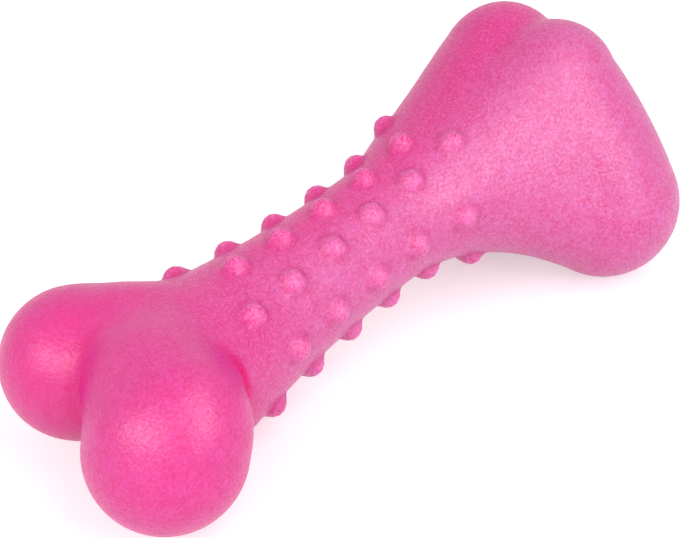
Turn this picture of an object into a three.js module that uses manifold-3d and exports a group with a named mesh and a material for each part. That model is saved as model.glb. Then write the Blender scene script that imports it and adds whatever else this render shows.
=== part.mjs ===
// A foam-rubber dog bone: two bonded halves with nubs on the shaft and a squeaker in the far end.
// Millimetres. The bone lies on the floor: +X runs to the condyles, +Y to the left knob, +Z is up.
import * as THREE from 'three';
import { mergeVertices } from 'three/addons/utils/BufferGeometryUtils.js';
import Module from 'manifold-3d';

const wasm = await Module();
wasm.setup();

// Shaft, along X through the bone's own origin
const waistRadius = 13.7;
const waistX = 7.3;
const shaftReach = 48.4;
const nearFlare = 4.1;
const farFlare = 3;

// Near end: the left knob is a ball, the right one a taller ball, and a bar bridges the saddle between them
const leftKnob = { at: new THREE.Vector3(-59.2, 16.3, 4.1), radius: 16 };
const leftBlend = 14;
const rightKnob = { at: new THREE.Vector3(-65.1, -17.2, 3.8), radius: 16.2 };
const rightCrown = { at: new THREE.Vector3(-63.6, -16.4, 7.2), radius: 16.2 };
const rightBlend = 5;
const bridgeLeft = { at: new THREE.Vector3(-57, 8, 8), radius: 12.5 };
const bridgeRight = { at: new THREE.Vector3(-62, -8, 8.5), radius: 12.5 };
const bridgeBlend = 3;

// Condyles of the far end: each a web over three balls, mirrored about the middle plane
const rootX = 39.6;
const rootSpread = 4;
const rootRadius = 11.6;
const crestX = 69.9;
const crestSpread = 7.5;
const crestHeight = 11.9;
const crestRadius = 14.8;
const heelX = 69.2;
const heelSpread = 22.3;
const heelDrop = 16.4;
const heelRadius = 18.1;
const condyleBlend = 15.8;
const grooveBlend = 2.5;

// Arch that fills the notch between the heels
const archRootX = 54;
const archTipX = 65.5;
const archRootDrop = 3;
const archTipDrop = 11.5;
const archRadius = 14;
const archBlend = 8;

// Nubs: rows round the shaft, counted from the top towards the right side, every other row shifted
const nubRadius = 3;
const nubHeight = 2.45;
const nubPitch = 13.4;
const nubFieldX = -0.4;
const nubsInLongRow = 6;
const nubRowAngles = [-47.5, -4.5, 32.5, 81, 136, 180, 224, 268];
const nubRowLeans = [-1, -5, -8, -2, 8, 0, 0, 0];

// Squeaker bulb, a thin bladder on the bone's axis
const bulbRadius = 11;
const bulbLength = 27;
const bulbWall = 0.9;
const bulbShoulder = 5;
const neckLength = 4.2;

// Squeaker cup, on the same axis, with its mouth in the notch between the condyles
const cupRadius = 8.2;
const cupLength = 12.5;
const cupBore = 4.6;
const spigotRadius = 6.9;
const spigotLength = 5;
const flangeRadius = 9.8;
const flangeThickness = 2;
const mouthRecess = 1.2;

// Discs in the ends of the cup
const discRadius = 5.5;
const discThickness = 1.5;
const ventHoleRadius = 0.75;
const ventRingRadius = 3.1;
const ventHoles = 6;

// Reed, its trough and its clamp
const troughRadius = 2.6;
const troughBore = 1.5;
const troughLength = 7;
const troughTip = 1;
const reedLength = 6.4;
const reedWidth = 3;
const reedThickness = 0.25;
const clampLength = 1.8;
const clampLeg = 0.8;
const clampBridge = 0.9;

// Clearances
const fitGap = 0.2;
const pocketGap = 0.3;
const reedGap = 0.12;

// Centres that the skin swells out from, at the two ends of the shaft's axis
const centreSetback = 4.8;
const nearCentreX = (leftKnob.at.x + rightKnob.at.x) / 2 + centreSetback;
const farCentreX = (crestX + heelX) / 2 - centreSetback;
const seedRadius = 1;

// Facets of the skin and of the round pieces
const skinSides = 40;
const skinRings = 26;
const skinCapRings = 12;
const nubSides = 8;
const nubRings = 6;
const roundSides = 24;
const smallSides = 8;

// Half width of a space that holds the whole bone, and how far a cutter runs past what it cuts
const room = 256;
const overrun = 1;

const { clamp, lerp, degToRad } = THREE.MathUtils;
const unitX = new THREE.Vector3(1, 0, 0);
const unitY = new THREE.Vector3(0, 1, 0);

// Two distances melted into one, with a fillet of about the blend's size
function smoothMin(first, second, blend) {
  const share = clamp(0.5 + (0.5 * (second - first)) / blend, 0, 1);
  return lerp(second, first, share) - blend * share * (1 - share);
}

// Distance from a point to a ball
function ballDistance(point, ball) {
  return point.distanceTo(ball.at) - ball.radius;
}

// Distance from a point to a bar that runs between two balls
function barDistance(point, first, second) {
  const along = second.at.clone().sub(first.at);
  const share = clamp(point.clone().sub(first.at).dot(along) / along.lengthSq(), 0, 1);
  const foot = first.at.clone().addScaledVector(along, share);
  return point.distanceTo(foot) - lerp(first.radius, second.radius, share);
}

// Distance from a point to a web stretched over three balls
function webDistance(point, web) {
  const [root, crest, heel] = web;
  const rootEdges = Math.min(barDistance(point, root, crest), barDistance(point, root, heel));
  const edges = Math.min(rootEdges, barDistance(point, crest, heel));
  const triangle = new THREE.Triangle(root.at, crest.at, heel.at);
  const shares = triangle.getBarycoord(point, new THREE.Vector3());
  if (Math.min(shares.x, shares.y, shares.z) < 0) return edges;
  const foot = root.at.clone().multiplyScalar(shares.x);
  foot.addScaledVector(crest.at, shares.y).addScaledVector(heel.at, shares.z);
  const radius = root.radius * shares.x + crest.radius * shares.y + heel.radius * shares.z;
  return Math.min(edges, point.distanceTo(foot) - radius);
}

// Distance from a point to the waisted shaft
function shaftDistance(point) {
  const run = clamp(point.x - waistX, -shaftReach, shaftReach);
  const past = point.x - waistX - run;
  const flare = run < 0 ? nearFlare : farFlare;
  const radius = waistRadius + flare * (run / shaftReach) ** 2;
  return Math.hypot(past, point.y, point.z) - radius;
}

// The three balls of one condyle; side is 1 on the left and -1 on the right
function condyle(side) {
  return [
    { at: new THREE.Vector3(rootX, side * rootSpread, 0), radius: rootRadius },
    { at: new THREE.Vector3(crestX, side * crestSpread, crestHeight), radius: crestRadius },
    { at: new THREE.Vector3(heelX, side * heelSpread, -heelDrop), radius: heelRadius },
  ];
}

const leftCondyle = condyle(1);
const rightCondyle = condyle(-1);
const archRoot = { at: new THREE.Vector3(archRootX, 0, -archRootDrop), radius: archRadius };
const archTip = { at: new THREE.Vector3(archTipX, 0, -archTipDrop), radius: archRadius };

// The bone's skin is where this is zero; it is negative inside
function boneField(point) {
  const leftPart = smoothMin(shaftDistance(point), ballDistance(point, leftKnob), leftBlend);
  const bridged = smoothMin(leftPart, barDistance(point, bridgeLeft, bridgeRight), bridgeBlend);
  const nearPart = smoothMin(bridged, barDistance(point, rightKnob, rightCrown), rightBlend);
  const pair = smoothMin(webDistance(point, leftCondyle), webDistance(point, rightCondyle), grooveBlend);
  const farPart = smoothMin(pair, barDistance(point, archRoot, archTip), archBlend);
  return smoothMin(nearPart, farPart, condyleBlend);
}

// First point of the skin on a ray from inside the bone
function skinPoint(start, direction) {
  const step = 0.5;
  const halvings = 24;
  const at = (run) => start.clone().addScaledVector(direction, run);
  let outer = step;
  while (boneField(at(outer)) < 0) outer += step;
  let inner = outer - step;
  for (let turn = 0; turn < halvings; turn += 1) {
    const middle = (inner + outer) / 2;
    if (boneField(at(middle)) < 0) inner = middle;
    else outer = middle;
  }
  return at(outer);
}

// Outward direction of the skin at one of its points
function skinNormal(point) {
  const nudge = 0.05;
  const slope = (axis) => {
    const ahead = point.clone();
    const behind = point.clone();
    ahead[axis] += nudge;
    behind[axis] -= nudge;
    return boneField(ahead) - boneField(behind);
  };
  return new THREE.Vector3(slope('x'), slope('y'), slope('z')).normalize();
}

// A closed solid from a geometry, for joining and cutting
function solid(geometry) {
  const bare = geometry.index ? geometry.clone() : mergeVertices(geometry);
  bare.deleteAttribute('normal');
  bare.deleteAttribute('uv');
  const merged = mergeVertices(bare, 1e-4);
  const corners = [];
  for (let turn = 0; turn < merged.index.count; turn += 3) {
    const [a, b, c] = merged.index.array.slice(turn, turn + 3);
    if (a !== b && b !== c && c !== a) corners.push(a, b, c);
  }
  return new wasm.Manifold(new wasm.Mesh({
    numProp: 3,
    vertProperties: new Float32Array(merged.attributes.position.array),
    triVerts: new Uint32Array(corners),
  }));
}

// A geometry from a solid
function geometryOf(body) {
  const mesh = body.getMesh();
  const geometry = new THREE.BufferGeometry();
  geometry.setAttribute('position', new THREE.BufferAttribute(new Float32Array(mesh.vertProperties), 3));
  geometry.setIndex(new THREE.BufferAttribute(new Uint32Array(mesh.triVerts), 1));
  return geometry;
}

// A round solid on the X axis from [radius, x] points
function turned(points, sides = roundSides) {
  const profile = points.map(([radius, x]) => new THREE.Vector2(radius, x));
  return new THREE.LatheGeometry(profile, sides).rotateZ(-Math.PI / 2);
}

// A round rod along X between two places
function rodX(radius, fromX, toX, sides = roundSides) {
  const rod = new THREE.CylinderGeometry(radius, radius, toX - fromX, sides);
  return rod.rotateZ(-Math.PI / 2).translate((fromX + toX) / 2, 0, 0);
}

// A block from its low and high corners
function block(low, high) {
  const size = high.map((value, axis) => value - low[axis]);
  const middle = high.map((value, axis) => (value + low[axis]) / 2);
  return new THREE.BoxGeometry(...size).translate(...middle);
}

// The bone's skin: a capsule on the shaft's axis, swollen out to the zero of the field
function boneSkin() {
  const length = farCentreX - nearCentreX;
  const capsule = new THREE.CapsuleGeometry(seedRadius, length, skinCapRings, skinSides, skinRings);
  capsule.rotateZ(-Math.PI / 2).translate((nearCentreX + farCentreX) / 2, 0, 0);
  const { position, normal } = capsule.attributes;
  for (let turn = 0; turn < position.count; turn += 1) {
    const direction = new THREE.Vector3().fromBufferAttribute(normal, turn);
    const start = new THREE.Vector3().fromBufferAttribute(position, turn);
    start.addScaledVector(direction, -seedRadius);
    const point = skinPoint(start, direction);
    position.setXYZ(turn, point.x, point.y, point.z);
  }
  return capsule;
}

// One nub: a ball sunk into the skin so that its dome stands proud
function nub(x, angle) {
  const outward = new THREE.Vector3(0, -Math.sin(angle), Math.cos(angle));
  const foot = skinPoint(new THREE.Vector3(x, 0, 0), outward);
  const normal = skinNormal(foot);
  const ball = new THREE.SphereGeometry(nubRadius, nubSides, nubRings);
  ball.applyQuaternion(new THREE.Quaternion().setFromUnitVectors(unitY, normal));
  const centre = foot.addScaledVector(normal, nubHeight - nubRadius);
  return ball.translate(centre.x, centre.y, centre.z);
}

// All nubs: long and short rows take turns, half a pitch apart
function allNubs() {
  const nubs = [];
  nubRowAngles.forEach((angle, row) => {
    const count = nubsInLongRow - (row % 2);
    const rowLength = nubPitch * (nubsInLongRow - 1);
    for (let turn = 0; turn < count; turn += 1) {
      const run = nubPitch * (turn - (count - 1) / 2);
      const lean = (nubRowLeans[row] * run * 2) / rowLength;
      nubs.push(nub(nubFieldX + run, degToRad(angle + lean)));
    }
  });
  return nubs;
}

// Places of the squeaker along the bone's axis, measured back from the skin in the notch
const noseX = skinPoint(new THREE.Vector3(farCentreX, 0, 0), unitX).x;
const cupMouthX = noseX - mouthRecess;
const cupBackX = cupMouthX - cupLength;
const cupStepX = cupBackX + spigotLength;
const flangeEndX = cupStepX + flangeThickness;
const bulbMouthX = cupBackX + neckLength;
const bulbShoulderX = cupBackX - bulbShoulder;
const bulbBackX = bulbShoulderX - bulbLength;
const seatDepth = discThickness + fitGap;
const seatRadius = discRadius + fitGap;
const neckRadius = spigotRadius + fitGap + bulbWall;

// Points of the bulb's outline, a given amount larger than its outer face, from the back to the neck
function bulbOutline(grow) {
  const radius = bulbRadius + grow;
  const arcSteps = 6;
  const points = [];
  for (let turn = 0; turn <= arcSteps; turn += 1) {
    const angle = (turn / arcSteps) * (Math.PI / 2);
    const back = bulbBackX + bulbRadius - radius * Math.cos(angle);
    points.push([radius * Math.sin(angle), back]);
  }
  points.push([radius, bulbShoulderX]);
  points.push([neckRadius + grow, cupBackX]);
  return points;
}

// Hollow in the bone that the squeaker fills, open at the notch
function squeakerPocket() {
  const outside = noseX + heelRadius;
  return turned([
    ...bulbOutline(pocketGap),
    [cupRadius + pocketGap, cupStepX - pocketGap],
    [flangeRadius + pocketGap, cupStepX - pocketGap],
    [flangeRadius + pocketGap, flangeEndX + pocketGap],
    [cupRadius + pocketGap, flangeEndX + pocketGap],
    [cupRadius + pocketGap, outside],
    [0, outside],
  ]);
}

// Thin bladder, open at its neck
function squeakerBulb() {
  const outer = bulbOutline(0);
  const inner = bulbOutline(-bulbWall).reverse();
  return turned([
    ...outer,
    [neckRadius, bulbMouthX],
    [neckRadius - bulbWall, bulbMouthX],
    ...inner,
  ]);
}

// Cup with a spigot for the bulb, a flange that the halves trap, and a seat for a disc in each end
function squeakerCup() {
  return turned([
    [seatRadius, cupBackX],
    [spigotRadius, cupBackX],
    [spigotRadius, cupStepX],
    [flangeRadius, cupStepX],
    [flangeRadius, flangeEndX],
    [cupRadius, flangeEndX],
    [cupRadius, cupMouthX],
    [seatRadius, cupMouthX],
    [seatRadius, cupMouthX - seatDepth],
    [cupBore, cupMouthX - seatDepth],
    [cupBore, cupBackX + seatDepth],
    [seatRadius, cupBackX + seatDepth],
    [seatRadius, cupBackX],
  ]);
}

// Perforated disc in the cup's mouth
function ventDisc() {
  let disc = solid(rodX(discRadius, cupMouthX - discThickness, cupMouthX));
  for (let turn = 0; turn < ventHoles; turn += 1) {
    const angle = (turn / ventHoles) * 2 * Math.PI;
    const fromX = cupMouthX - discThickness - overrun;
    const hole = rodX(ventHoleRadius, fromX, cupMouthX + overrun, smallSides);
    hole.translate(0, ventRingRadius * Math.cos(angle), ventRingRadius * Math.sin(angle));
    disc = disc.subtract(solid(hole));
  }
  return geometryOf(disc);
}

// Lower half of a rod along X, with its flat face up
function halfRod(radius, fromX, toX) {
  const rod = solid(rodX(radius, fromX, toX));
  const reach = radius + overrun;
  const above = solid(block([fromX - overrun, -reach, 0], [toX + overrun, reach, reach]));
  return rod.subtract(above);
}

const plateFaceX = cupBackX + discThickness;
const troughStartX = plateFaceX + reedGap;
const troughEndX = troughStartX + troughLength;
const reedLowZ = reedGap;
const reedHighZ = reedLowZ + reedThickness;

// Disc in the cup's back, with the half-round air hole that leads into the trough
function reedPlate() {
  const disc = solid(rodX(discRadius, cupBackX, plateFaceX));
  const hole = halfRod(troughBore, cupBackX - overrun, plateFaceX + overrun);
  return geometryOf(disc.subtract(hole));
}

// Trough that the reed beats on, closed at its tip
function reedSeat() {
  const trough = halfRod(troughRadius, troughStartX, troughEndX);
  const air = halfRod(troughBore, troughStartX - overrun, troughEndX - troughTip);
  return geometryOf(trough.subtract(air));
}

// Thin strip over the trough
function reedStrip() {
  const low = [troughStartX, -reedWidth / 2, reedLowZ];
  const high = [troughStartX + reedLength, reedWidth / 2, reedHighZ];
  return block(low, high);
}

// Bridge over the reed's root, standing on the trough's two edges
function reedClamp() {
  const inside = reedWidth / 2 + reedGap;
  const outside = inside + clampLeg;
  const underside = reedHighZ + reedGap;
  const bridge = solid(block(
    [troughStartX, -outside, reedGap],
    [troughStartX + clampLength, outside, underside + clampBridge],
  ));
  const gap = solid(block(
    [troughStartX - overrun, -inside, -overrun],
    [troughStartX + clampLength + overrun, inside, underside],
  ));
  return geometryOf(bridge.subtract(gap));
}

// The part of the whole bone between two places across it
function boneBetween(whole, lowY, highY) {
  const slab = block([-room, lowY, -room], [room, highY, room]);
  return geometryOf(whole.intersect(solid(slab)));
}

// Materials: pink foam rubber, and the squeaker's plastics
const foam = { color: 0xec68a8, roughness: 0.55, metalness: 0 };
const milkyPlastic = { color: 0xe9e6dc, roughness: 0.45, metalness: 0 };
const whitePlastic = { color: 0xf2f1ec, roughness: 0.4, metalness: 0 };
const clearFilm = { color: 0xcfd6d8, roughness: 0.25, metalness: 0 };

const nubSolids = allNubs().map(solid);
const body = nubSolids.reduce((sum, each) => sum.add(each), solid(boneSkin()));
const whole = body.subtract(solid(squeakerPocket()));

const pieces = [
  ['left_half', boneBetween(whole, 0, room), foam],
  ['right_half', boneBetween(whole, -room, 0), foam],
  ['squeaker_bulb', squeakerBulb(), milkyPlastic],
  ['squeaker_cup', squeakerCup(), whitePlastic],
  ['vent_disc', ventDisc(), whitePlastic],
  ['reed_plate', reedPlate(), whitePlastic],
  ['reed_seat', reedSeat(), whitePlastic],
  ['reed', reedStrip(), clearFilm],
  ['reed_clamp', reedClamp(), whitePlastic],
];

// Pitch at which the near end and the far end of the bone touch the floor together
function restPitch(points) {
  const halvings = 40;
  let level = 0;
  let steep = Math.PI / 6;
  for (let turn = 0; turn < halvings; turn += 1) {
    const pitch = (level + steep) / 2;
    const lowest = { near: room, far: room };
    for (let corner = 0; corner < points.count; corner += 1) {
      const height = points.getX(corner) * Math.sin(pitch) + points.getZ(corner) * Math.cos(pitch);
      const end = points.getX(corner) < waistX ? 'near' : 'far';
      lowest[end] = Math.min(lowest[end], height);
    }
    if (lowest.near > lowest.far) level = pitch;
    else steep = pitch;
  }
  return level;
}

const bone = new THREE.Group();
for (const [name, geometry, finish] of pieces) {
  const mesh = new THREE.Mesh(geometry, new THREE.MeshStandardMaterial(finish));
  mesh.name = name;
  bone.add(mesh);
}
bone.rotation.y = -restPitch(geometryOf(whole).attributes.position);

// The origin is on the floor, under the middle of the bone
bone.updateMatrixWorld(true);
const extent = new THREE.Box3().setFromObject(bone, true);
const middle = extent.getCenter(new THREE.Vector3());
bone.position.set(-middle.x, -middle.y, -extent.min.z);

export default bone;
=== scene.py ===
# %% [markdown]
# A foam-rubber dog bone is dressed here around its imported solids. The real toy is one soft pink
# moulding: a shaft with rows of round nubs, two knobs on its near end, and two broad condyles with a
# groove between them on its far end. A small squeaker is trapped in the far end. The solids are
# loaded first, as a frame that nothing moves.

# %% Load the imported solids
import math

import bmesh
import bpy
import numpy as np
from mathutils import Matrix, Quaternion, Vector


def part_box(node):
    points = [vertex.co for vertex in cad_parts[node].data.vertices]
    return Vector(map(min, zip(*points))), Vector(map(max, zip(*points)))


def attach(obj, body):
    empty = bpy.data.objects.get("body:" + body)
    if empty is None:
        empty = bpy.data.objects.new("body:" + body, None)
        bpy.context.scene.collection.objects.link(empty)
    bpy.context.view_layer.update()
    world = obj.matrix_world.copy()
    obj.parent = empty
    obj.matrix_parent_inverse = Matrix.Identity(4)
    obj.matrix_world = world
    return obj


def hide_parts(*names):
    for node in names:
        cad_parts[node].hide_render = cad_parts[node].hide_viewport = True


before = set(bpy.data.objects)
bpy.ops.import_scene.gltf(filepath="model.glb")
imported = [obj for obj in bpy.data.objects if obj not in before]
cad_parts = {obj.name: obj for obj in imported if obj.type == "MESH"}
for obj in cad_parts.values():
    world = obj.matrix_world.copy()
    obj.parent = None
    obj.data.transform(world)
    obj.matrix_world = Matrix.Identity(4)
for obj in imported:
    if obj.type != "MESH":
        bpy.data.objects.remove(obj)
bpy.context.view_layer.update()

mm = 0.001
print("solids:", sorted(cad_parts))

# %% [markdown]
# The camera has the photograph's viewing angle: a little right of the near end, about a third of a
# right angle above the floor, and so close that the near knobs look larger than they are. A camera
# can be aimed with a constraint, but the aim is one point and one roll, so it is worked out once.

# %% The camera
camera_azimuth = math.radians(-47.03)
camera_elevation = math.radians(32.62)
camera_roll = math.radians(0.36)
camera_distance = 360 * mm
camera_aim = Vector((1.0, 3.05, 17.8)) * mm
camera_lens = 84.7
camera_clip = 10 * mm

away = Vector((
    math.sin(camera_azimuth) * math.cos(camera_elevation),
    -math.cos(camera_azimuth) * math.cos(camera_elevation),
    math.sin(camera_elevation),
))
aim_turn = (-away).to_track_quat("-Z", "Y") @ Quaternion((0, 0, 1), camera_roll)
bpy.ops.object.camera_add(
    location=camera_aim + away * camera_distance, rotation=aim_turn.to_euler())
camera = bpy.context.object
camera.name = "photo_camera"
camera.data.lens = camera_lens
camera.data.clip_start = camera_clip
bpy.context.scene.camera = camera
print("camera at", tuple(round(value, 4) for value in camera.location))

# %% [markdown]
# The toy's mould was cut from a few plain forms that run into each other with soft fillets. The same
# forms are written down here at their real sizes, in the bone's own axes: x along the shaft towards
# the condyles, y to the left knob, z up out of the groove. The shaft has a waist and flares towards
# both ends. The left knob is a ball that runs softly into the shaft. The right one stands further
# out, is taller, has a shoulder, and meets the shaft in a tight crease. A bridge between the knobs
# and a ramp up from the shaft fill the saddle, so that only the knobs' end is notched.

# %% Sizes of the shaft and the knobs
waist_radius = 13.7 * mm
waist_x = 7.3 * mm
shaft_reach = 48.4 * mm
near_flare = 4.1 * mm
far_flare = 3 * mm


def ball(x, y, z, radius):
    """A ball of the mould, from its place and its radius in millimetres."""
    return np.array((x, y, z)) * mm, radius * mm


left_knob = ball(-59.2, 16.3, 4.1, radius=16)
left_blend = 14 * mm
right_knob = ball(-65.1, -17.2, 3.8, radius=16.2)
right_crown = ball(-64, -16.8, 5.5, radius=16.2)
right_shoulder = ball(-60.2, -19, 11, radius=11.7)
shoulder_blend = 4 * mm
right_blend = 4 * mm
bridge_left = ball(-52, 8, 8, radius=12)
bridge_right = ball(-58, -8, 8.5, radius=12)
bridge_blend = 3 * mm
ramp_root = ball(-30, 0, 0.5, radius=12)
ramp_tip = ball(-58, -9, 8.2, radius=14)
ramp_blend = 5 * mm
print("shaft", round(2 * waist_radius, 4), "thick at its waist")

# %% [markdown]
# Each condyle of the far end is a rounded three-cornered lobe: a root in the shaft, a crest beside
# the groove on top, and a heavy heel at the floor. Three balls stand for those corners, and the lobe
# is a skin stretched over them. The right one is a little fuller between crest and heel. An arch
# underneath joins the heels, so that the bone stands on two feet there.

# %% Sizes of the condyles


def condyle(side):
    """One condyle's root, crest and heel. Side is 1 on the left and -1 on the right."""
    root = ball(39.6, side * 4, 0, radius=11.6)
    crest = ball(69.9, side * 7.5, 11.9, radius=14.8)
    heel = ball(69.2, side * 22.3, -16.4, radius=18.1)
    return root, crest, heel


left_condyle = condyle(1)
right_condyle = condyle(-1)
right_belly = 1 * mm
groove_blend = 2.5 * mm
arch_root = ball(54, 0, -3, radius=14)
arch_tip = ball(65.5, 0, -11.5, radius=14)
arch_blend = 8 * mm
condyle_blend = 15.8 * mm
heel_place, heel_radius = left_condyle[2]
print("far end", round(2 * (heel_place[1] + heel_radius), 4), "wide")

# %% [markdown]
# Forms that melt into each other could be modelled as metaballs, or joined and remeshed, but both
# lose the fillets' sizes and leave a bumpy surface that smoothing then shrinks. Instead each form
# gets a function that says how far points are from it, less than zero inside, and two distances are
# melted into one. The skin is where the melted distance is zero, so every fillet has the size that
# is written down.

# %% Distances to the plain forms


def melt(first, second, blend):
    """Two distances as one, with a fillet of about the blend's size where they meet."""
    share = np.clip(0.5 + 0.5 * (second - first) / blend, 0, 1)
    return second + (first - second) * share - blend * share * (1 - share)


def to_ball(points, one):
    """Distance from points to a ball."""
    centre, radius = one
    return np.linalg.norm(points - centre, axis=1) - radius


def to_bar(points, first, second, belly=0):
    """Distance from points to a bar between two balls, which may be fuller in its middle."""
    along = second[0] - first[0]
    share = np.clip((points - first[0]) @ along / (along @ along), 0, 1)
    feet = first[0] + share[:, None] * along
    radius = first[1] + share * (second[1] - first[1]) + 4 * belly * share * (1 - share)
    return np.linalg.norm(points - feet, axis=1) - radius


def to_web(points, root, crest, heel, belly=0):
    """Distance from points to a web over three balls, maybe fuller between crest and heel."""
    roots = np.minimum(to_bar(points, root, crest), to_bar(points, root, heel))
    edges = np.minimum(roots, to_bar(points, crest, heel, belly))
    sides = np.stack([crest[0] - root[0], heel[0] - root[0]])
    swelling = np.array([crest[1] - root[1], heel[1] - root[1]])
    shares = (points - root[0]) @ np.linalg.pinv(sides)
    feet = root[0] + shares @ sides
    radius = root[1] + shares @ swelling + 4 * belly * shares.prod(axis=1)
    face = np.linalg.norm(points - feet, axis=1) - radius
    inside = (shares.min(axis=1) >= 0) & (shares.sum(axis=1) <= 1)
    return np.where(inside, np.minimum(edges, face), edges)


def to_shaft(points):
    """Distance from points to the waisted shaft."""
    run = np.clip(points[:, 0] - waist_x, -shaft_reach, shaft_reach)
    past = points[:, 0] - waist_x - run
    flare = np.where(run < 0, near_flare, far_flare)
    radius = waist_radius + flare * (run / shaft_reach) ** 2
    return np.sqrt(past ** 2 + points[:, 1] ** 2 + points[:, 2] ** 2) - radius


# %% The whole bone as one distance


def to_bone(points):
    """Distance from points to the bone without its nubs."""
    left_part = melt(to_shaft(points), to_ball(points, left_knob), left_blend)
    bridged = melt(left_part, to_bar(points, bridge_left, bridge_right), bridge_blend)
    filled = melt(bridged, to_bar(points, ramp_root, ramp_tip), ramp_blend)
    right_core = to_bar(points, right_knob, right_crown)
    right_part = melt(right_core, to_ball(points, right_shoulder), shoulder_blend)
    near_part = melt(filled, right_part, right_blend)
    right_lobe = to_web(points, *right_condyle, belly=right_belly)
    pair = melt(to_web(points, *left_condyle), right_lobe, groove_blend)
    far_part = melt(pair, to_bar(points, arch_root, arch_tip), arch_blend)
    return melt(near_part, far_part, condyle_blend)


print("middle of the shaft is", round(float(to_bone(np.zeros((1, 3)))[0]), 4), "from the skin")

# %% Swelling points out to a skin
skin_tolerance = 1e-4 * mm
most_steps = 400
centre_setback = 4.8 * mm


def swell(points, headings, distance):
    """Points moved along their headings, from inside, until their distance to the skin is zero."""
    points = points.copy()
    live = np.arange(len(points))
    for _ in range(most_steps):
        gap = distance(points[live])
        points[live] -= headings[live] * gap[:, None]
        live = live[np.abs(gap) > skin_tolerance]
        if not len(live):
            break
    return points


def slope(points, distance, nudge=0.05 * mm):
    """Outward directions of a skin at some of its points."""
    steps = np.eye(3) * nudge
    rise = np.stack([distance(points + step) - distance(points - step) for step in steps], axis=1)
    return rise / np.linalg.norm(rise, axis=1, keepdims=True)


near_centre = (left_knob[0][0] + right_knob[0][0]) / 2 + centre_setback
far_centre = (left_condyle[1][0][0] + left_condyle[2][0][0]) / 2 - centre_setback
ahead = np.array([[1.0, 0, 0]])
nose_x = swell(ahead * far_centre, ahead, to_bone)[0, 0]
print("skin in the notch between the condyles at", round(nose_x, 5))

# %% [markdown]
# The nubs stand in eight rows round the shaft, long rows and short rows in turn, half a pitch apart,
# so that each nub faces a gap of the next row. The rows aren't quite evenly spaced, and they lean a
# little, as if the mould had been drilled by hand. Nubs could be separate balls pushed into the skin,
# but then there would be a sharp line round each. Here a nub is melted in with a small fillet.

# %% The nubs
nub_radius = 3 * mm
nub_height = 2.45 * mm
nub_pitch = 13.4 * mm
nub_field_x = -0.4 * mm
nub_blend = 0.55 * mm
nubs_in_long_row = 6
# each row's angle round the shaft, and how far it leans to each side at its ends, in degrees
nub_rows = (
    (-47.5, -1), (-4.5, -5), (32.5, -8), (81, -2), (136, 8), (180, 0), (224, 0), (268, 0))

nub_starts = []
nub_headings = []
for row, (row_angle, row_lean) in enumerate(nub_rows):
    count = nubs_in_long_row - row % 2
    for turn in range(count):
        place = turn - (count - 1) / 2
        lean = row_lean * place * 2 / (nubs_in_long_row - 1)
        angle = math.radians(row_angle + lean)
        nub_starts.append((nub_field_x + nub_pitch * place, 0, 0))
        nub_headings.append((0, -math.sin(angle), math.cos(angle)))
nub_feet = swell(np.array(nub_starts), np.array(nub_headings), to_bone)
nub_centres = nub_feet + slope(nub_feet, to_bone) * (nub_height - nub_radius)


def to_nubbed_bone(points):
    """Distance from points to the bone with its nubs."""
    spans = [np.linalg.norm(points - centre, axis=1) for centre in nub_centres]
    return melt(to_bone(points), np.minimum.reduce(spans) - nub_radius, nub_blend)


print(len(nub_centres), "nubs")

# %% [markdown]
# The skin starts as a sphere with its poles on the shaft's axis. In edit mode its far half is moved
# along the axis, which leaves one band of long faces, and subdividing the band's edges gives the
# shaft its rings. The pole of the far end is opened, because the squeaker's mouth is there. This long
# capsule has the right flow of edges for a bone: rings round the shaft, and fans over both ends.

# %% A capsule on the shaft's axis
skin_sides = 224
cap_rings = 54
shaft_rings = 300
seed_radius = 1 * mm
ring_angle = math.pi / 2 / cap_rings


def select_only(piece):
    """Selects one object, and no other, and makes it the active one."""
    bpy.ops.object.select_all(action="DESELECT")
    piece.select_set(True)
    bpy.context.view_layer.objects.active = piece


def pick(kind, test):
    """In edit mode, selects the vertices or edges that pass a test, and nothing else."""
    mesh = bpy.context.object.data
    form = bmesh.from_edit_mesh(mesh)
    bpy.ops.mesh.select_all(action="DESELECT")
    for part in getattr(form, kind):
        part.select_set(bool(test(part)))
    form.select_flush_mode()
    bmesh.update_edit_mesh(mesh)


bpy.ops.object.select_all(action="DESELECT")
bpy.ops.mesh.primitive_uv_sphere_add(
    segments=skin_sides, ring_count=2 * cap_rings, radius=seed_radius, rotation=(0, math.pi / 2, 0))
skin = bpy.context.object
skin.name = "foam_bone"
bpy.ops.object.transform_apply(location=False, rotation=True, scale=False)
bpy.ops.object.mode_set(mode="EDIT")
bpy.ops.mesh.select_mode(type="VERT")
halfway = seed_radius * math.sin(ring_angle / 2)
pick("verts", lambda vertex: vertex.co.x <= halfway)
bpy.ops.transform.translate(value=(near_centre, 0, 0))
pick("verts", lambda vertex: vertex.co.x > halfway)
bpy.ops.transform.translate(value=(far_centre, 0, 0))
last_ring_x = far_centre + seed_radius * math.cos(ring_angle / 2)
pick("verts", lambda vertex: vertex.co.x > last_ring_x)
bpy.ops.mesh.delete(type="VERT")
bpy.ops.mesh.select_mode(type="EDGE")
pick("edges", lambda edge: edge.calc_length() > (far_centre - near_centre) / 2)
bpy.ops.mesh.subdivide(number_cuts=shaft_rings)
bpy.ops.object.mode_set(mode="OBJECT")
print("capsule of", len(skin.data.polygons), "faces")

# %% [markdown]
# Each vertex of the capsule now moves straight out from the axis until it meets the skin. Sculpting
# the bone by hand would give the same flow of edges, but not the same sizes. First the fan round the
# opened pole is spread so that its first ring lands on the round mouth of the squeaker's pocket. Then
# all vertices go out to the bare bone, and those near a nub go on to the nub.

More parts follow.
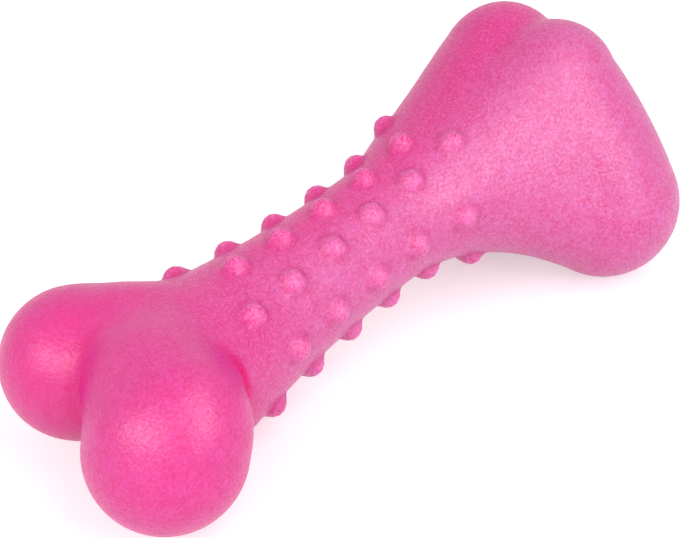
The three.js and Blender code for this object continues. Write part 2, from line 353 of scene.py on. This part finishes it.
# %% Spread the fan round the squeaker's mouth
cup_radius = 8.2 * mm
pocket_gap = 0.3 * mm
lip_round = 0.6 * mm
mouth_radius = cup_radius + pocket_gap + lip_round
least_forward = 1e-6


def read_points(piece):
    """An object's vertices as rows of three numbers."""
    numbers = np.zeros(len(piece.data.vertices) * 3, np.float32)
    piece.data.vertices.foreach_get("co", numbers)
    return numbers.reshape(-1, 3).astype(float)


points = read_points(skin)
starts = np.zeros_like(points)
starts[:, 0] = np.clip(points[:, 0], near_centre, far_centre)
headings = points - starts
headings /= np.linalg.norm(headings, axis=1, keepdims=True)

fan = np.flatnonzero(headings[:, 0] > least_forward)
around = headings[fan] * (0, 1, 1)
around /= np.linalg.norm(around, axis=1, keepdims=True)
mouth_start = starts[fan] + around * mouth_radius
mouth_x = swell(mouth_start, np.repeat(ahead, len(fan), axis=0), to_bone)[:, 0]
mouth_angle = np.arctan2(mouth_radius, mouth_x - far_centre)
fan_angle = np.arccos(np.clip(headings[fan, 0], -1, 1))
opening = (fan_angle - ring_angle) / (math.pi / 2 - ring_angle)
spread = mouth_angle + (math.pi / 2 - mouth_angle) * opening
headings[fan] = np.cos(spread)[:, None] * ahead + np.sin(spread)[:, None] * around
print("fan of", len(fan), "vertices opened to a mouth of radius", round(mouth_radius, 5))

# %% Swell the capsule into the bone
counted_lift = 0.1 * mm


def write_points(piece, points):
    """Puts rows of three numbers back as an object's vertices."""
    piece.data.vertices.foreach_set("co", points.astype(np.float32).ravel())
    piece.data.update()


bare = swell(starts, headings, to_bone)
nubbed = swell(bare, headings, to_nubbed_bone)
write_points(skin, nubbed)
lifted = np.abs(nubbed - bare).max(axis=1) > counted_lift
print("skin of", len(nubbed), "vertices; nubs lift", int(lifted.sum()))

# %% [markdown]
# In creases and round the feet of the nubs the skin gets painted shade, a deeper, redder pink, and
# the tops of the nubs get a painted highlight, a paler pink. The skin carries them as two marks.
# Where the skin is hollow can be found from the distances: at a hollow, points a small step away to
# all sides are nearer to the skin on average than on a flat. The deep crease is beside the right
# knob, so its mark fades along the shaft and is faint in the notch. The other mark is how far a nub
# lifts the skin. Each vertex keeps both as numbers from zero to one, which the foam's material reads.

# %% Mark the hollows and the nubs of the skin
crease_step = 2.6 * mm
nub_step = 1.2 * mm
hollow_start = -0.02 / mm
crease_full = -0.08 / mm
nub_full = -0.14 / mm
nub_share = 0.15
crease_end = -30 * mm
crease_fade = 15 * mm
crease_side = -6 * mm
side_fade = 8 * mm
notch_share = 0.3
counted_hollow = 0.2


def hollows(points, distance, size, full):
    """How hollow a skin is at points, felt with steps of a size: one is a bend of full or more."""
    steps = np.vstack([np.eye(3), -np.eye(3)]) * size
    around_sum = sum(distance(points + step) for step in steps)
    bend = (around_sum - len(steps) * distance(points)) / size ** 2
    return np.clip((bend - hollow_start) / (full - hollow_start), 0, 1)


near_share = np.clip((crease_end - bare[:, 0]) / crease_fade, 0, 1)
near_share *= np.clip((crease_side - bare[:, 1]) / side_fade, notch_share, 1)
creases = hollows(bare, to_bone, crease_step, crease_full) * near_share
nub_rings = hollows(nubbed, to_nubbed_bone, nub_step, nub_full) * nub_share
# Creases and nub feet are marked for painted shade.
hollow = np.maximum(creases, nub_rings)
# How far a nub lifts the skin marks where its top gets a painted highlight.
lift = np.clip(np.linalg.norm(nubbed - bare, axis=1) / nub_height, 0, 1)
for name, share in (("hollow", hollow), ("lift", lift)):
    mark = skin.data.attributes.new(name, "FLOAT", "POINT")
    mark.data.foreach_set("value", share.astype(np.float32))
print("hollows on", int((hollow > counted_hollow).sum()), "vertices")

# %% [markdown]
# The pocket is where the squeaker sits: a lip, a throat for the cup, a groove for its flange, and a
# round chamber for the bulb. It could be cut out with a Boolean, but that would break the ring of
# edges round the mouth. It is modelled like the inside of a vase instead. The open edge is extruded
# again and again, and each new ring is flattened and scaled to its place, until the last one is
# merged into a point.

# %% Sizes of the squeaker along the bone's axis
mouth_recess = 1.2 * mm
cup_length = 12.5 * mm
spigot_radius = 6.9 * mm
spigot_length = 5 * mm
flange_radius = 9.8 * mm
flange_thickness = 2 * mm
bulb_radius = 11 * mm
bulb_length = 27 * mm
bulb_shoulder = 5 * mm
bulb_wall = 0.9 * mm
fit_gap = 0.2 * mm

cup_mouth_x = nose_x - mouth_recess
cup_back_x = cup_mouth_x - cup_length
cup_step_x = cup_back_x + spigot_length
flange_end_x = cup_step_x + flange_thickness
bulb_shoulder_x = cup_back_x - bulb_shoulder
bulb_back_x = bulb_shoulder_x - bulb_length
neck_radius = spigot_radius + fit_gap + bulb_wall
print("cup from", round(cup_back_x, 4), "to", round(cup_mouth_x, 4))

# %% The pocket's rings
dome_steps = 10
throat = cup_radius + pocket_gap
flange_room = flange_radius + pocket_gap
chamber = bulb_radius + pocket_gap
pocket_rings = [
    (throat, flange_end_x + pocket_gap),
    (flange_room, flange_end_x + pocket_gap),
    (flange_room, cup_step_x - pocket_gap),
    (throat, cup_step_x - pocket_gap),
    (neck_radius + pocket_gap, cup_back_x),
    (chamber, bulb_shoulder_x),
]
for turn in range(dome_steps):
    rise = math.pi / 2 * turn / dome_steps
    dome_x = bulb_back_x + bulb_radius - chamber * math.sin(rise)
    pocket_rings.append((chamber * math.cos(rise), dome_x))
print(len(pocket_rings), "rings in the pocket")

# %% Extrude the pocket
lip_steps = 5


def extrude_ring(radius, from_radius, x=None, back=0):
    """Extrudes the selected ring and scales it to a radius, flat at x, or moved back as it is."""
    bpy.ops.mesh.extrude_region_move(TRANSFORM_OT_translate={"value": (-back, 0, 0)})
    size = radius / from_radius
    flat = 1 if x is None else 0
    bpy.ops.transform.resize(value=(flat, size, size), center_override=(x or 0, 0, 0))
    return radius


select_only(skin)
bpy.ops.object.mode_set(mode="EDIT")
bpy.ops.mesh.select_mode(type="EDGE")
bpy.ops.mesh.select_all(action="DESELECT")
bpy.ops.mesh.select_non_manifold(
    use_wire=False, use_multi_face=False, use_non_contiguous=False, use_verts=False)
radius = mouth_radius
for turn in range(1, lip_steps + 1):
    before = math.pi / 2 * (turn - 1) / lip_steps
    after = math.pi / 2 * turn / lip_steps
    deeper = lip_round * (math.cos(before) - math.cos(after))
    lip_radius = throat + lip_round * (1 - math.sin(after))
    radius = extrude_ring(lip_radius, radius, back=deeper)
for next_radius, ring_x in pocket_rings:
    radius = extrude_ring(next_radius, radius, x=ring_x)
bpy.ops.mesh.merge(type="CENTER")
bpy.ops.mesh.select_all(action="SELECT")
bpy.ops.mesh.normals_make_consistent(inside=False)
bpy.ops.object.mode_set(mode="OBJECT")
print("bone with its pocket:", len(skin.data.polygons), "faces")

# %% [markdown]
# The bone lies on its heels and its belly, so its own axes are pitched against the floor. The angle
# could be written down again, but the squeaker's two discs tell it: the line from one middle to the
# other is the bone's axis, and the outer one's place on that axis is known. The finished mesh is laid
# down with that turn, which is then applied.

# %% Lay the bone down as the solids lie
disc_thickness = 1.5 * mm
sharp_angle = math.radians(50)


def middle_of(node):
    """Middle of a solid's box."""
    low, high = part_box(node)
    return (low + high) / 2


vent_middle = middle_of("vent_disc")
bone_x = (vent_middle - middle_of("reed_plate")).normalized()
bone_y = Vector((0, 1, 0))
bone_z = bone_x.cross(bone_y)
lie = Matrix((bone_x, bone_y, bone_z)).transposed().to_4x4()
lie.translation = vent_middle - bone_x * (cup_mouth_x - disc_thickness / 2)

select_only(skin)
bpy.ops.object.shade_smooth_by_angle(angle=sharp_angle)
skin.matrix_world = lie
bpy.ops.object.transform_apply(location=True, rotation=True, scale=True)
print("pitch of", round(math.degrees(math.atan2(bone_x.z, bone_x.x)), 3), "degrees")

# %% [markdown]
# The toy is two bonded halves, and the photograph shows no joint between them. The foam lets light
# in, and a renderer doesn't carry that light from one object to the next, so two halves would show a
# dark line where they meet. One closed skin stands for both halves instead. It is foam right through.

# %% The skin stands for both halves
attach(skin, "bone")
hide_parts("left_half", "right_half")
skin.data.calc_loop_triangles()
print("skin of", len(skin.data.loop_triangles), "triangles")

# %% [markdown]
# Materials are trees of shader nodes. So that their maths reads like maths, one small class wraps a
# socket and turns plus, minus and times into Math nodes. Every other node comes from one method,
# which sets the node's own settings first and then its sockets.

# %% A socket that takes sums


class Value:
    """A value of a material's node tree. Sums of values add Math nodes."""

    def __init__(self, tree, socket):
        self.tree = tree
        self.socket = socket

    def node(self, kind, settings, sockets, output=0):
        """Adds a node to the tree: its type, its settings, and what goes into its sockets."""
        made = self.tree.nodes.new(kind)
        for name, setting in settings.items():
            setattr(made, name, setting)
        for name, content in sockets.items():
            if isinstance(content, Value):
                self.tree.links.new(content.socket, made.inputs[name])
            else:
                made.inputs[name].default_value = content
        return Value(self.tree, made.outputs[output]) if made.outputs else made

    def math(self, operation, first, second):
        return self.node("ShaderNodeMath", {"operation": operation}, {0: first, 1: second})

    def __add__(self, other):
        return self.math("ADD", self, other)

    def __radd__(self, other):
        return self.math("ADD", other, self)

    def __sub__(self, other):
        return self.math("SUBTRACT", self, other)

    def __rsub__(self, other):
        return self.math("SUBTRACT", other, self)

    def __mul__(self, other):
        return self.math("MULTIPLY", self, other)

    def __rmul__(self, other):
        return self.math("MULTIPLY", other, self)

    def between(self, low, high):
        """Zero at low, one at high, and a smooth step between them."""
        settings = {"interpolation_type": "SMOOTHSTEP"}
        return self.node("ShaderNodeMapRange", settings, {0: self, 1: low, 2: high})

    def mix(self, first, second):
        """The first colour where this is zero, and the second where it is one."""
        sockets = {0: self, 6: first, 7: second}
        return self.node("ShaderNodeMix", {"data_type": "RGBA"}, sockets, output=2)

    def mix_shader(self, first, second):
        """The first shader where this is zero, and the second where it is one."""
        return self.node("ShaderNodeMixShader", {}, {0: self, 1: first, 2: second})


print("shader maths is ready")

# %% Helpers for materials


def new_material(name):
    """A material with an empty tree, and the place on the piece as a value to start from."""
    material = bpy.data.materials.new(name)
    material.use_nodes = True
    material.node_tree.nodes.clear()
    start = Value(material.node_tree, None)
    return material, start.node("ShaderNodeTexCoord", {}, {}, output="Object")


def noise(place, size, detail=2.0):
    """Soft cloudy noise with blotches of about a size."""
    sockets = {"Vector": place, "Scale": 1 / size, "Detail": detail}
    return place.node("ShaderNodeTexNoise", {}, sockets)


def roughened(place, height, depth, strength):
    """A bumpy normal, from a height and the depth of its bumps."""
    sockets = {"Height": height, "Distance": depth, "Strength": strength}
    return place.node("ShaderNodeBump", {}, sockets)


def dress(piece, material):
    """Gives a piece one material and no other."""
    piece.data.materials.clear()
    piece.data.materials.append(material)


print("material helpers are ready")

# %% [markdown]
# The foam is rubber that was whipped full of fine bubbles and cast in a smooth mould. It is pink all
# through, satin, and covered with a pearly speckle, where bubbles just under the surface catch the
# light. The colour isn't even: the knobs are a deep pink, the right side goes paler towards the
# condyles, partly the foam's own tone and partly painted sheen where the side light falls, and the
# left side, away from that light, is painted a deeper pink as shade. Soft clouds lie between, with
# pale flecks on the shaft. One noise would look like paint, so four sizes of it are mixed, from
# clouds to grain.

# %% The foam's colours
knob_deep = (0.68, 0.005, 0.22, 1)
knob_pearl = (0.74, 0.05, 0.34, 1)
# The condyles' paler pinks are partly the foam's own tone and partly painted sheen on the lit right
# side.
condyle_deep_and_sheen = (0.66, 0.045, 0.25, 1)
condyle_pearl_and_sheen = (0.71, 0.15, 0.46, 1)
# Painted shade: the deeper pink of the left side, away from the side light.
painted_side_shade_pink = (0.76, 0.0, 0.24, 1)
# Pale flecks, and also the painted highlight on the nub tops.
fleck_and_highlight_pink = (0.84, 0.2, 0.52, 1)
# Painted shade: the deeper, redder pink of creases and nub feet.
hollow_shade_pink = (0.74, 0.0, 0.16, 1)

cloud_size = 16 * mm
mottle_size = 2.5 * mm
speckle_size = 0.75 * mm
grain_size = 0.5 * mm
fine_detail = 0.5
fine_range = (0.35, 0.65)
mottle_range = (0.3, 0.7)
fleck_range = (0.54, 0.7)
# Nub tops get a painted highlight over this range of lift.
nub_highlight_range = (0.1, 0.9)
speckle_tone = 0.4
grain_tone = 0.3
mottle_tone = 0.3

# The drift to paler is partly the foam's tone and partly painted sheen.
drift_and_sheen_range = (-54 * mm, -16 * mm)
cloud_reach = 30 * mm
# Where the left side is painted in shade, and how much.
shaded_side_range = (-12 * mm, 5 * mm)
shaded_side_depth = 0.95
side_shade_strength = 0.35
fleck_run = (-68 * mm, -36 * mm)
fleck_strength = 0.3
# How strongly the nub tops take their painted highlight.
nub_highlight_strength = 0.55
# How deep the painted shade in the hollows goes.
hollow_shade_depth = 0.9


def mark_of(place, name):
    """A number that the skin's vertices carry."""
    return place.node("ShaderNodeAttribute", {"attribute_name": name}, {}, output="Fac")


def foam_colour(place, speckle, grain, hollow_shade_share):
    """Speckled pink from knobs to condyles, with painted sheen, shade and nub highlights."""
    along = place.node("ShaderNodeSeparateXYZ", {}, {0: place}, output="X")
    across = place.node("ShaderNodeSeparateXYZ", {}, {0: place}, output="Y")
    cloud = noise(place, cloud_size)
    mottle = noise(place, mottle_size)
    fine_grain = grain.between(*fine_range)
    shaded_side_share = across.between(*shaded_side_range)
    # The left side is painted in shade; on the right the drift to paler is partly painted sheen.
    sheen_side_share = 1 - shaded_side_share * shaded_side_depth
    drift_and_sheen = (along + (cloud - 0.5) * cloud_reach).between(*drift_and_sheen_range) * sheen_side_share
    fine_tone = speckle.between(*fine_range) * speckle_tone + fine_grain * grain_tone
    tone = fine_tone + mottle.between(*mottle_range) * mottle_tone
    deep = drift_and_sheen.mix(knob_deep, condyle_deep_and_sheen)
    pearl = drift_and_sheen.mix(knob_pearl, condyle_pearl_and_sheen)
    sided_pink = (shaded_side_share * side_shade_strength).mix(tone.mix(deep, pearl), painted_side_shade_pink)
    flecks = grain.between(*fleck_range) * along.between(*fleck_run) * fleck_strength
    flecked_pink = flecks.mix(sided_pink, fleck_and_highlight_pink)
    # Nub tops are painted paler: a painted highlight.
    painted_nub_highlight = mark_of(place, "lift").between(*nub_highlight_range) * fine_grain * nub_highlight_strength
    # Hollows get painted shade: a deeper, redder pink.
    return hollow_shade_share.mix(painted_nub_highlight.mix(flecked_pink, fleck_and_highlight_pink), hollow_shade_pink)


print("seven pinks")

# %% [markdown]
# The finish is satin, with a grain that can be felt. Rubber lets light in, red the furthest, so thin
# edges and creases glow; subsurface scattering gives that. The hollows are made nearly matt, as
# painted shade that keeps reflections out of them. The amount of shine is a plain number on a shader,
# so two shaders that differ in it alone are mixed by the hollows' mark.

# %% Pink foam rubber
open_shine = 0.65
# Nearly matt hollows: painted shade that keeps reflections out of them.
shaded_hollow_shine = 0.05
foam_roughness = 0.42
grain_polish = 0.12
polish_range = (0.4, 0.7)
speckle_height = 0.35
grain_height = 0.65
foam_bump_depth = 0.25 * mm
foam_bump_strength = 0.8
glow_weight = 0.85
glow_reach = 4 * mm
glow_colours = (1.0, 0.25, 0.45)
rubber_ior = 1.5


def pink_foam():
    """Satin pink foam rubber with a pearly speckle, and matt in its hollows."""
    material, place = new_material("pink_foam")
    speckle = noise(place, speckle_size, fine_detail)
    grain = noise(place, grain_size, fine_detail)
    # The hollows' mark paints shade: a deeper pink and a nearly matt shader.
    hollow_shade_share = mark_of(place, "hollow") * hollow_shade_depth
    height = speckle * speckle_height + grain * grain_height
    finish = {
        "Base Color": foam_colour(place, speckle, grain, hollow_shade_share),
        "Roughness": foam_roughness - grain.between(*polish_range) * grain_polish,
        "Normal": roughened(place, height, foam_bump_depth, foam_bump_strength),
        "IOR": rubber_ior,
        "Subsurface Weight": glow_weight,
        "Subsurface Radius": glow_colours,
        "Subsurface Scale": glow_reach,
    }
    satin, matt = (
        place.node("ShaderNodeBsdfPrincipled", {}, finish | {"Specular IOR Level": shine})
        for shine in (open_shine, shaded_hollow_shine))
    surface = hollow_shade_share.mix_shader(satin, matt)
    place.node("ShaderNodeOutputMaterial", {}, {"Surface": surface})
    return material


dress(skin, pink_foam())
print("foam on the skin")

# %% [markdown]
# The squeaker is made of three plastics: a white moulded one for the cup, the discs and the reed's
# parts, a milky one for the blown bulb, and a thin bluish film for the reed. Their solids have the
# right shapes, so they stay and only get a finish. One function makes all three: a slightly uneven
# colour and a faint grain, because a flat colour would look like paper in the vent.

# %% Squeaker plastics
blotch_size = 2 * mm
blotch_range = (0.35, 0.7)
blotch_shade = 0.9
plastic_detail = 3.0
plastic_bump_depth = 0.05 * mm
plastic_bump_strength = 0.15
plastic_unevenness = 0.1


def plastic(name, colour, roughness, grain_size):
    """Moulded plastic with a faint grain and a slight unevenness of colour."""
    material, place = new_material(name)
    fine = noise(place, grain_size, plastic_detail)
    blotch = noise(place, blotch_size).between(*blotch_range)
    darker = tuple(channel * blotch_shade for channel in colour)
    surface = place.node("ShaderNodeBsdfPrincipled", {}, {
        "Base Color": blotch.mix((*colour, 1), (*darker, 1)),
        "Roughness": roughness + fine * plastic_unevenness,
        "Normal": roughened(place, fine, plastic_bump_depth, plastic_bump_strength),
    })
    place.node("ShaderNodeOutputMaterial", {}, {"Surface": surface})
    return material


white_plastic = plastic("white_plastic", (0.82, 0.81, 0.77), 0.35, 0.3 * mm)
milky_plastic = plastic("milky_plastic", (0.78, 0.76, 0.69), 0.4, 0.6 * mm)
clear_film = plastic("clear_film", (0.6, 0.65, 0.67), 0.2, 0.5 * mm)
for node in ("squeaker_cup", "vent_disc", "reed_plate", "reed_seat", "reed_clamp"):
    dress(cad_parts[node], white_plastic)
dress(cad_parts["squeaker_bulb"], milky_plastic)
dress(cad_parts["reed"], clear_film)
print("plastics on the squeaker")

# %% [markdown]
# The surround is plain white, as on a sheet of paper. More light would whiten the floor, but it would
# bleach the foam too. So the floor is a pale grey that takes the bone's shadow, and a glow is added
# to it for the rays that are seen: those from the camera, and those that meet it in gloss or through
# glass. Further out the floor turns to white paper, and the world is white to the same rays.

# %% The floor and the world
white = (1, 1, 1, 1)
floor_size = 6
floor_grey = (0.8, 0.8, 0.8, 1)
floor_glow = 0.45
paper_glow = 1
paper_range = (0.2, 0.6)
world_light = 0.44
world_seen = 1
rays_seen = ("Is Camera Ray", "Is Glossy Ray", "Is Transmission Ray")


def seen_rays(value):
    """One for rays from the camera and those it sees in gloss or through glass, else zero."""
    shares = [value.node("ShaderNodeLightPath", {}, {}, output=ray) for ray in rays_seen]
    return shares[0] + shares[1] + shares[2]


bpy.ops.object.select_all(action="DESELECT")
bpy.ops.mesh.primitive_plane_add(size=floor_size)
floor = bpy.context.object
floor.name = "floor"
floor_paint, spot = new_material("pale_floor")
matt_grey = spot.node("ShaderNodeBsdfDiffuse", {}, {"Color": floor_grey})
glow = spot.node("ShaderNodeEmission", {}, {"Color": white, "Strength": floor_glow})
paper = spot.node("ShaderNodeEmission", {}, {"Color": white, "Strength": paper_glow})
lit_grey = spot.node("ShaderNodeAddShader", {}, {0: matt_grey, 1: glow})
from_bone = spot.node("ShaderNodeVectorMath", {"operation": "LENGTH"}, {0: spot}, output="Value")
seen_floor = from_bone.between(*paper_range).mix_shader(lit_grey, paper)
floor_surface = seen_rays(spot).mix_shader(matt_grey, seen_floor)
spot.node("ShaderNodeOutputMaterial", {}, {"Surface": floor_surface})
dress(floor, floor_paint)

world = bpy.data.worlds.new("studio")
bpy.context.scene.world = world
world.use_nodes = True
world.node_tree.nodes.clear()
sky = Value(world.node_tree, None)
ambient = sky.node("ShaderNodeBackground", {}, {"Color": white, "Strength": world_light})
backdrop = sky.node("ShaderNodeBackground", {}, {"Color": white, "Strength": world_seen})
sky.node("ShaderNodeOutputWorld", {}, {"Surface": seen_rays(sky).mix_shader(ambient, backdrop)})
print("floor and world are white to", len(rays_seen), "kinds of ray")

# %% [markdown]
# The photograph is lit softly from the right and from above, and a low narrow light in front draws a
# band on the knobs. Sun lamps would give hard edges, so each light is an area lamp, like a softbox.
# The rear one only lifts the shaded side. It is kept out of the gloss, because it would draw bright
# lines along the saddle and the groove that the real toy doesn't show.

# %% Softboxes


def softbox(name, place, width, height, brightness):
    """A soft lamp that looks at the bone. Brightness is its own, as the camera would see it."""
    turn = Vector(place).to_track_quat("Z", "Y").to_euler()
    bpy.ops.object.light_add(type="AREA", location=place, rotation=turn)
    lamp = bpy.context.object
    lamp.name = name
    lamp.data.shape = "RECTANGLE"
    lamp.data.size = width
    lamp.data.size_y = height
    lamp.data.energy = brightness * math.pi * width * height
    return lamp


softbox("side_softbox", (0.02, -0.65, 0.36), width=0.4, height=0.4, brightness=4.1)
softbox("top_softbox", (0.05, -0.36, 0.66), width=0.45, height=0.45, brightness=2)
softbox("near_softbox", (-0.42, -0.06, 0.27), width=0.5, height=0.14, brightness=5.2)
rear_softbox = softbox("rear_softbox", (0.45, 0.5, 0.2), width=0.4, height=0.3, brightness=2)
rear_softbox.visible_glossy = False
bpy.context.scene.view_settings.view_transform = "Standard"
print("lit by four softboxes")
